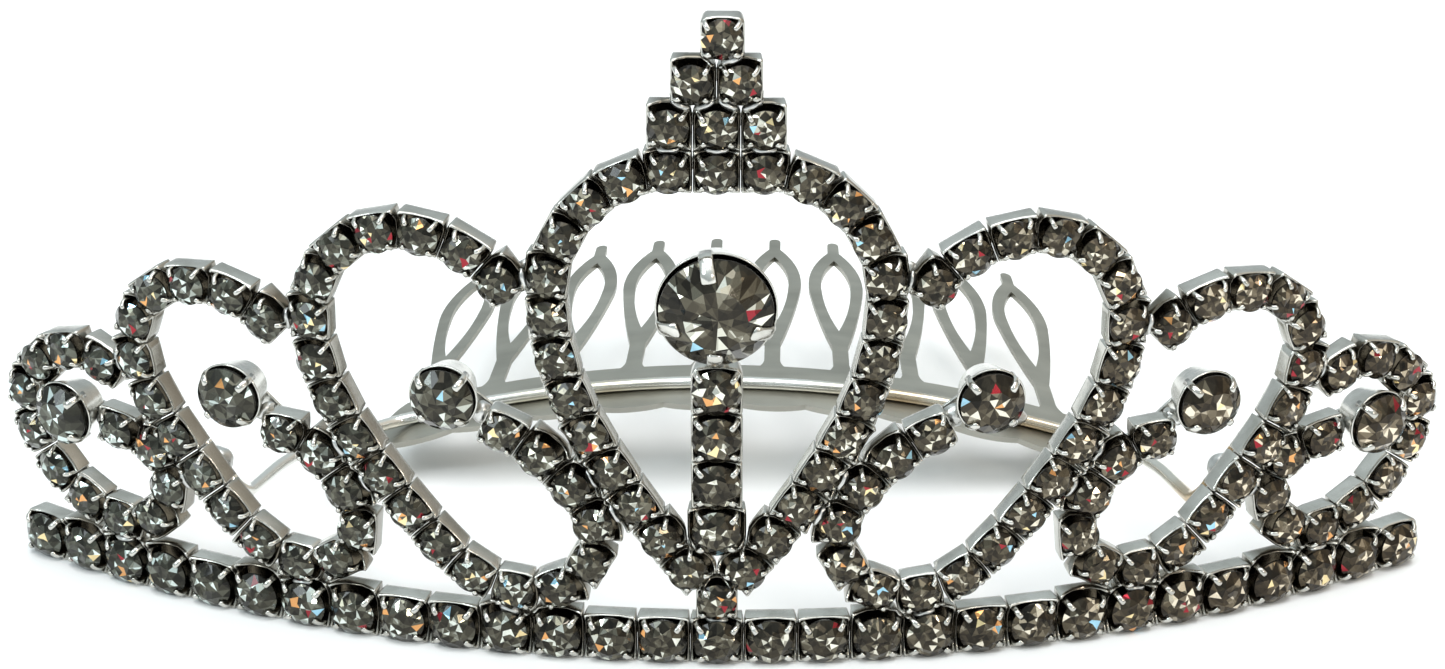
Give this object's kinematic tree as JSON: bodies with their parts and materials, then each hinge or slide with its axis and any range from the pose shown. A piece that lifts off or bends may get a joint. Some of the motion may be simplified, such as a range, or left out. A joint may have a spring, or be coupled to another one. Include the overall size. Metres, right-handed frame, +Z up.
{
  "type": "bridal tiara",
  "caption": "Bridal tiara: a curved upright face of crystal cup chain in a central loop and side scrolls, on a straight base row, with a hair comb carried behind on a wire.",
  "frame": {"origin": "underside of the middle cup of the base row, at the middle of the face in depth", "axes": "+X to the wearer's left along the width, +Y towards the comb at the back, +Z up"},
  "size_m": [0.1344, 0.0722, 0.0627],
  "materials": {
    "plated_cups": "bright silver plate on stamped cups",
    "plated_settings": "bright silver plate on turned bezels",
    "plated_links": "bright silver plate on strip",
    "chain_crystal_glass": "foil-backed clear cut glass",
    "large_crystal_glass": "foil-backed clear cut glass",
    "solder": "plated tin solder, uneven",
    "comb_sheet": "satin silver-plated sheet",
    "wire": "bright silver-plated round wire"
  },
  "bodies": {
    "root": {"base_row_crystals": "chain_crystal_glass", "base_row_cups": "plated_cups", "centre_crystal": "large_crystal_glass", "centre_crystal_setting": "plated_settings", "centre_loop_crystals": "chain_crystal_glass", "centre_loop_cups": "plated_cups", "centre_stem_crystals": "chain_crystal_glass", "centre_stem_cups": "plated_cups", "chain_links": "plated_links", "comb_plate": "comb_sheet", "comb_solder": "solder", "comb_wire": "wire", "finial_crystals": "chain_crystal_glass", "finial_cups": "plated_cups", "left_inner_scroll_crystals": "chain_crystal_glass", "left_inner_scroll_cups": "plated_cups", "left_inner_scroll_end_crystal": "large_crystal_glass", "left_inner_scroll_end_setting": "plated_settings", "left_middle_scroll_crystals": "chain_crystal_glass", "left_middle_scroll_cups": "plated_cups", "left_middle_scroll_end_crystal": "large_crystal_glass", "left_middle_scroll_end_setting": "plated_settings", "left_outer_scroll_crystals": "chain_crystal_glass", "left_outer_scroll_cups": "plated_cups", "left_outer_scroll_end_crystal": "large_crystal_glass", "left_outer_scroll_end_setting": "plated_settings", "right_inner_scroll_crystals": "chain_crystal_glass", "right_inner_scroll_cups": "plated_cups", "right_inner_scroll_end_crystal": "large_crystal_glass", "right_inner_scroll_end_setting": "plated_settings", "right_middle_scroll_crystals": "chain_crystal_glass", "right_middle_scroll_cups": "plated_cups", "right_middle_scroll_end_crystal": "large_crystal_glass", "right_middle_scroll_end_setting": "plated_settings", "right_outer_scroll_crystals": "chain_crystal_glass", "right_outer_scroll_cups": "plated_cups", "right_outer_scroll_end_crystal": "large_crystal_glass", "right_outer_scroll_end_setting": "plated_settings", "solder_joints": "solder", "wire_foot_solder": "solder"}
  },
  "joints": []
}
